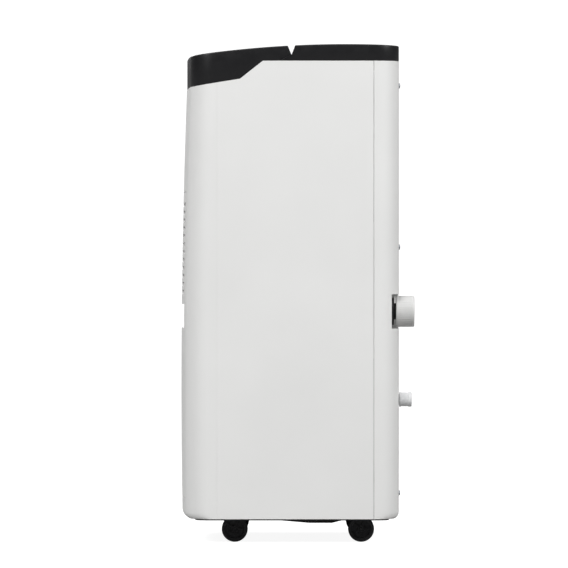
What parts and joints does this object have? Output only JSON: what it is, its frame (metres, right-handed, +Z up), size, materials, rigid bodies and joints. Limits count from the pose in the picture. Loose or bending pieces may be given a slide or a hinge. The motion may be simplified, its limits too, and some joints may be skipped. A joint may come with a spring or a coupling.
{
  "type": "dehumidifier",
  "caption": "Portable compressor dehumidifier: tall white cabinet with a dark crowned top, hinged air outlet, front inlet grille, pull-out tank, rear drain fittings and twin-wheel castors.",
  "frame": {"origin": "on the floor, under the middle of the object's overall box", "axes": "+Z up, the front (inlet grille and tank) faces -Y, the drain fittings face +Y, +X is the side with the drain fittings"},
  "size_m": [0.386, 0.288, 0.61],
  "materials": {
    "white_abs": "satin fine-textured moulded ABS",
    "dark_abs": "semi-gloss moulded ABS",
    "base_pp": "matt moulded polypropylene",
    "wheel_pu": "matt",
    "smoked_acrylic": "polished",
    "key_abs": "satin",
    "tank_pp": "translucent satin",
    "inner_pp": "matt moulded polypropylene",
    "float_foam": "matt closed-cell foam",
    "cap_abs": "satin moulded ABS",
    "rubber": "matt",
    "grey_rubber": "matt",
    "steel": "turned",
    "aluminium_fins": "bare finned",
    "copper": "bare drawn copper",
    "compressor_paint": "semi-gloss black enamel",
    "circuit_board": "solder mask",
    "filter_mesh": "woven nylon mesh"
  },
  "bodies": {
    "cabinet": {"front_shell": "white_abs", "side_panel_left": "white_abs", "side_panel_right": "white_abs", "rear_panel": "white_abs", "base_pan": "base_pp", "control_panel": "dark_abs", "display_window": "smoked_acrylic", "control_board": "circuit_board", "outlet_housing": "dark_abs", "flap_pin_left": "steel", "flap_pin_right": "steel", "outlet_grille": "dark_abs", "finger_scoop": "white_abs", "bulkhead": "inner_pp", "drip_tray": "inner_pp", "evaporator": "aluminium_fins", "condenser": "aluminium_fins", "fan_scroll": "inner_pp", "fan_motor": "steel", "compressor": "compressor_paint", "compressor_foot_1": "rubber", "compressor_foot_2": "rubber", "compressor_foot_3": "rubber", "discharge_pipe": "copper", "suction_pipe": "copper", "drain_spigot": "dark_abs", "lower_outlet": "dark_abs", "cord_gland": "rubber"},
    "tank": {"tank_bin": "tank_pp", "tank_fascia": "white_abs", "level_window": "smoked_acrylic", "tank_lid": "inner_pp"},
    "tank_handle": {"tank_handle": "inner_pp"},
    "tank_float": {"tank_float": "float_foam"},
    "front_grille": {"inlet_grille": "white_abs", "filter_frame": "dark_abs", "filter_mesh": "filter_mesh"},
    "outlet_flap": {"outlet_flap": "dark_abs"},
    "fan": {"fan_impeller": "dark_abs", "fan_shaft": "steel"},
    "button_power": {"button_power": "key_abs"},
    "button_mode": {"button_mode": "key_abs"},
    "button_humidity": {"button_humidity": "key_abs"},
    "button_fan_speed": {"button_fan_speed": "key_abs"},
    "button_timer": {"button_timer": "key_abs"},
    "drain_washer": {"drain_washer": "rubber"},
    "drain_cap": {"drain_cap": "cap_abs"},
    "lower_plug": {"lower_plug": "grey_rubber"},
    "castor_front_left": {"castor_front_left_hood": "base_pp"},
    "castor_front_left_wheel_1": {"castor_front_left_wheel_1": "wheel_pu"},
    "castor_front_left_wheel_2": {"castor_front_left_wheel_2": "wheel_pu"},
    "castor_front_right": {"castor_front_right_hood": "base_pp"},
    "castor_front_right_wheel_1": {"castor_front_right_wheel_1": "wheel_pu"},
    "castor_front_right_wheel_2": {"castor_front_right_wheel_2": "wheel_pu"},
    "castor_rear_left": {"castor_rear_left_hood": "base_pp"},
    "castor_rear_left_wheel_1": {"castor_rear_left_wheel_1": "wheel_pu"},
    "castor_rear_left_wheel_2": {"castor_rear_left_wheel_2": "wheel_pu"},
    "castor_rear_right": {"castor_rear_right_hood": "base_pp"},
    "castor_rear_right_wheel_1": {"castor_rear_right_wheel_1": "wheel_pu"},
    "castor_rear_right_wheel_2": {"castor_rear_right_wheel_2": "wheel_pu"}
  },
  "joints": [
    {"name": "tank_slide", "type": "slide", "parent": "cabinet", "child": "tank", "axis": [0, -1, 0], "range_m": [0, 0.2]},
    {"name": "tank_handle_swing", "type": "hinge", "parent": "tank", "child": "tank_handle", "pos_m": [0, -0.0375, 0.214], "axis": [-1, 0, 0], "range_deg": [0, 90]},
    {"name": "tank_float_lift", "type": "hinge", "parent": "tank", "child": "tank_float", "pos_m": [0.095, -0.0255, 0.1974], "axis": [-1, 0, 0], "range_deg": [0, 12]},
    {"name": "front_grille_pull", "type": "slide", "parent": "cabinet", "child": "front_grille", "axis": [0, -1, 0], "range_m": [0, 0.06]},
    {"name": "outlet_flap_lift", "type": "hinge", "parent": "cabinet", "child": "outlet_flap", "pos_m": [0, 0.0954, 0.60552], "axis": [-1, 0, 0], "range_deg": [0, 75]},
    {"name": "fan_spin", "type": "hinge", "parent": "cabinet", "child": "fan", "pos_m": [0, 0.03, 0.43], "axis": [0, 1, 0], "continuous": true},
    {"name": "button_power_press", "type": "slide", "parent": "cabinet", "child": "button_power", "axis": [0, 0.1131, -0.9936], "range_m": [0, 0.0012], "stiffness_N_per_m": 200},
    {"name": "button_mode_press", "type": "slide", "parent": "cabinet", "child": "button_mode", "axis": [0, 0.1131, -0.9936], "range_m": [0, 0.0012], "stiffness_N_per_m": 200},
    {"name": "button_humidity_press", "type": "slide", "parent": "cabinet", "child": "button_humidity", "axis": [0, 0.1131, -0.9936], "range_m": [0, 0.0012], "stiffness_N_per_m": 200},
    {"name": "button_fan_speed_press", "type": "slide", "parent": "cabinet", "child": "button_fan_speed", "axis": [0, 0.1131, -0.9936], "range_m": [0, 0.0012], "stiffness_N_per_m": 200},
    {"name": "button_timer_press", "type": "slide", "parent": "cabinet", "child": "button_timer", "axis": [0, 0.1131, -0.9936], "range_m": [0, 0.0012], "stiffness_N_per_m": 200},
    {"name": "drain_cap_turn", "type": "hinge", "parent": "drain_washer", "child": "drain_cap", "pos_m": [0.16, 0.13, 0.283], "axis": [0, 1, 0], "range_deg": [0, 1080]},
    {"name": "drain_cap_travel", "type": "slide", "parent": "cabinet", "child": "drain_washer", "axis": [0, 1, 0], "range_m": [0, 0.0091]},
    {"name": "lower_plug_pull", "type": "slide", "parent": "cabinet", "child": "lower_plug", "axis": [0, 1, 0], "range_m": [0, 0.02]},
    {"name": "castor_front_left_swivel", "type": "hinge", "parent": "cabinet", "child": "castor_front_left", "pos_m": [-0.146, -0.0864, 0.03], "axis": [0, 0, 1], "continuous": true},
    {"name": "castor_front_left_roll_1", "type": "hinge", "parent": "castor_front_left", "child": "castor_front_left_wheel_1", "pos_m": [-0.146, -0.0764, 0.016], "axis": [1, 0, 0], "continuous": true},
    {"name": "castor_front_left_roll_2", "type": "hinge", "parent": "castor_front_left", "child": "castor_front_left_wheel_2", "pos_m": [-0.146, -0.0764, 0.016], "axis": [1, 0, 0], "continuous": true},
    {"name": "castor_front_right_swivel", "type": "hinge", "parent": "cabinet", "child": "castor_front_right", "pos_m": [0.146, -0.0864, 0.03], "axis": [0, 0, 1], "continuous": true},
    {"name": "castor_front_right_roll_1", "type": "hinge", "parent": "castor_front_right", "child": "castor_front_right_wheel_1", "pos_m": [0.146, -0.0764, 0.016], "axis": [1, 0, 0], "continuous": true},
    {"name": "castor_front_right_roll_2", "type": "hinge", "parent": "castor_front_right", "child": "castor_front_right_wheel_2", "pos_m": [0.146, -0.0764, 0.016], "axis": [1, 0, 0], "continuous": true},
    {"name": "castor_rear_left_swivel", "type": "hinge", "parent": "cabinet", "child": "castor_rear_left", "pos_m": [-0.146, 0.0688, 0.03], "axis": [0, 0, 1], "continuous": true},
    {"name": "castor_rear_left_roll_1", "type": "hinge", "parent": "castor_rear_left", "child": "castor_rear_left_wheel_1", "pos_m": [-0.146, 0.0788, 0.016], "axis": [1, 0, 0], "continuous": true},
    {"name": "castor_rear_left_roll_2", "type": "hinge", "parent": "castor_rear_left", "child": "castor_rear_left_wheel_2", "pos_m": [-0.146, 0.0788, 0.016], "axis": [1, 0, 0], "continuous": true},
    {"name": "castor_rear_right_swivel", "type": "hinge", "parent": "cabinet", "child": "castor_rear_right", "pos_m": [0.146, 0.0688, 0.03], "axis": [0, 0, 1], "continuous": true},
    {"name": "castor_rear_right_roll_1", "type": "hinge", "parent": "castor_rear_right", "child": "castor_rear_right_wheel_1", "pos_m": [0.146, 0.0788, 0.016], "axis": [1, 0, 0], "continuous": true},
    {"name": "castor_rear_right_roll_2", "type": "hinge", "parent": "castor_rear_right", "child": "castor_rear_right_wheel_2", "pos_m": [0.146, 0.0788, 0.016], "axis": [1, 0, 0], "continuous": true}
  ],
  "couplings": [
    {"joint": "drain_cap_travel", "follows": "drain_cap_turn", "m_per_rad": 0.00047746}
  ]
}
